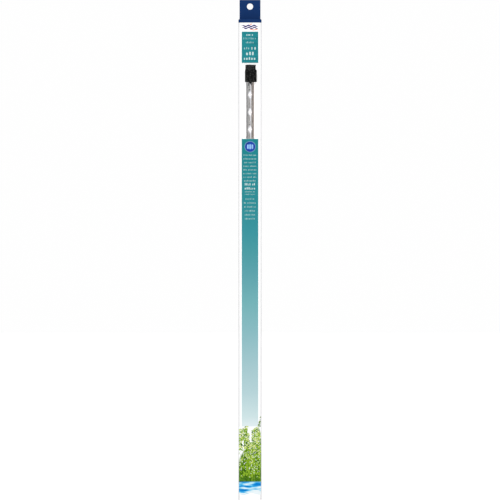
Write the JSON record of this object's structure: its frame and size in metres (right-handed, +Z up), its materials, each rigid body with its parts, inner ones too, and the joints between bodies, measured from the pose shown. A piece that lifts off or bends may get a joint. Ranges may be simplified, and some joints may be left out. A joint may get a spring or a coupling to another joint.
{
  "type": "slim aquarium lamp in a hanging window carton",
  "caption": "Slim round LED aquarium lamp with a black connector cap, packed in a tall narrow white paperboard carton with a punched hang tab, a film window and tuck-in ends.",
  "frame": {"origin": "centre of the peg hole in the hang tab, on the glue plane between the tab's two plies", "axes": "+Z up along the carton and the lamp, +Y towards the back of the carton, the printed front faces -Y, +X to the right seen from the front"},
  "size_m": [0.036, 0.024, 0.7702],
  "materials": {
    "white_board": "coated white, satin",
    "navy_board": "printed navy, satin varnish",
    "window_film": "clear plastic film, glossy",
    "foam": "white packing foam",
    "clear_acrylic": "clear extruded plastic, glossy",
    "aluminium": "extruded, satin",
    "circuit_board": "white solder mask",
    "led_package": "white moulded case with a pale lens",
    "black_plastic": "moulded, satin",
    "terminal_plastic": "moulded",
    "pin_brass": "turned",
    "seal_rubber": "matte",
    "red_wire": "insulation",
    "black_wire": "insulation"
  },
  "bodies": {
    "carton": {"back_panel": "white_board", "hang_tab_ply": "navy_board", "front_panel": "white_board", "left_panel": "white_board", "right_panel": "white_board", "glue_flap": "white_board", "window_film": "window_film", "foam_foot": "foam"},
    "lamp": {"light_tube": "clear_acrylic", "led_board": "circuit_board", "heat_spreader": "aluminium", "connector_cap": "black_plastic", "end_cap": "black_plastic", "terminal_block": "terminal_plastic", "contact_pin_left": "pin_brass", "contact_pin_right": "pin_brass", "seal_ring_upper": "seal_rubber", "seal_ring_lower": "seal_rubber", "lead_wire_red": "red_wire", "lead_wire_black": "black_wire", "foam_collar_upper": "foam", "foam_collar_middle": "foam", "led_01": "led_package", "led_02": "led_package", "led_03": "led_package", "led_04": "led_package", "led_05": "led_package", "led_06": "led_package", "led_07": "led_package", "led_08": "led_package", "led_09": "led_package", "led_10": "led_package", "led_11": "led_package", "led_12": "led_package", "led_13": "led_package", "led_14": "led_package", "led_15": "led_package", "led_16": "led_package", "led_17": "led_package", "led_18": "led_package", "led_19": "led_package", "led_20": "led_package", "led_21": "led_package", "led_22": "led_package"},
    "top_lid": {"top_lid": "navy_board"},
    "top_tuck": {"top_tuck": "white_board"},
    "top_dust_left": {"top_dust_left": "white_board"},
    "top_dust_right": {"top_dust_right": "white_board"},
    "bottom_lid": {"bottom_lid": "white_board"},
    "bottom_tuck": {"bottom_tuck": "white_board"},
    "bottom_dust_left": {"bottom_dust_left": "white_board"},
    "bottom_dust_right": {"bottom_dust_right": "white_board"}
  },
  "joints": [
    {"name": "lamp_draw", "type": "slide", "parent": "carton", "child": "lamp", "axis": [0, 0, 1], "range_m": [0, 0.15]},
    {"name": "top_lid_fold", "type": "hinge", "parent": "carton", "child": "top_lid", "pos_m": [0, -0.0234, -0.0197], "axis": [1, 0, 0], "range_deg": [0, 210]},
    {"name": "top_tuck_fold", "type": "hinge", "parent": "top_lid", "child": "top_tuck", "pos_m": [0, -0.0016, -0.0203], "axis": [1, 0, 0], "range_deg": [-21, 0]},
    {"name": "top_dust_left_fold", "type": "hinge", "parent": "carton", "child": "top_dust_left", "pos_m": [-0.018, -0.0114, -0.0206], "axis": [0, -1, 0], "range_deg": [0, 105]},
    {"name": "top_dust_right_fold", "type": "hinge", "parent": "carton", "child": "top_dust_right", "pos_m": [0.018, -0.0114, -0.0206], "axis": [0, 1, 0], "range_deg": [0, 105]},
    {"name": "bottom_lid_fold", "type": "hinge", "parent": "carton", "child": "bottom_lid", "pos_m": [0, 0.0006, -0.7597], "axis": [1, 0, 0], "range_deg": [0, 170]},
    {"name": "bottom_tuck_fold", "type": "hinge", "parent": "bottom_lid", "child": "bottom_tuck", "pos_m": [0, -0.0212, -0.7591], "axis": [1, 0, 0], "range_deg": [-17, 0]},
    {"name": "bottom_dust_left_fold", "type": "hinge", "parent": "carton", "child": "bottom_dust_left", "pos_m": [-0.018, -0.0114, -0.7588], "axis": [0, 1, 0], "range_deg": [0, 85]},
    {"name": "bottom_dust_right_fold", "type": "hinge", "parent": "carton", "child": "bottom_dust_right", "pos_m": [0.018, -0.0114, -0.7588], "axis": [0, -1, 0], "range_deg": [0, 85]}
  ],
  "couplings": [
    {"joint": "top_lid_fold", "follows": "lamp_draw", "rad_per_m": 24.43},
    {"joint": "top_tuck_fold", "follows": "lamp_draw", "rad_per_m": -2.443},
    {"joint": "top_dust_left_fold", "follows": "lamp_draw", "rad_per_m": 12.215},
    {"joint": "top_dust_right_fold", "follows": "lamp_draw", "rad_per_m": 12.215},
    {"joint": "bottom_tuck_fold", "follows": "bottom_lid_fold", "ratio": -0.1},
    {"joint": "bottom_dust_left_fold", "follows": "bottom_lid_fold", "ratio": 0.5},
    {"joint": "bottom_dust_right_fold", "follows": "bottom_lid_fold", "ratio": 0.5}
  ]
}
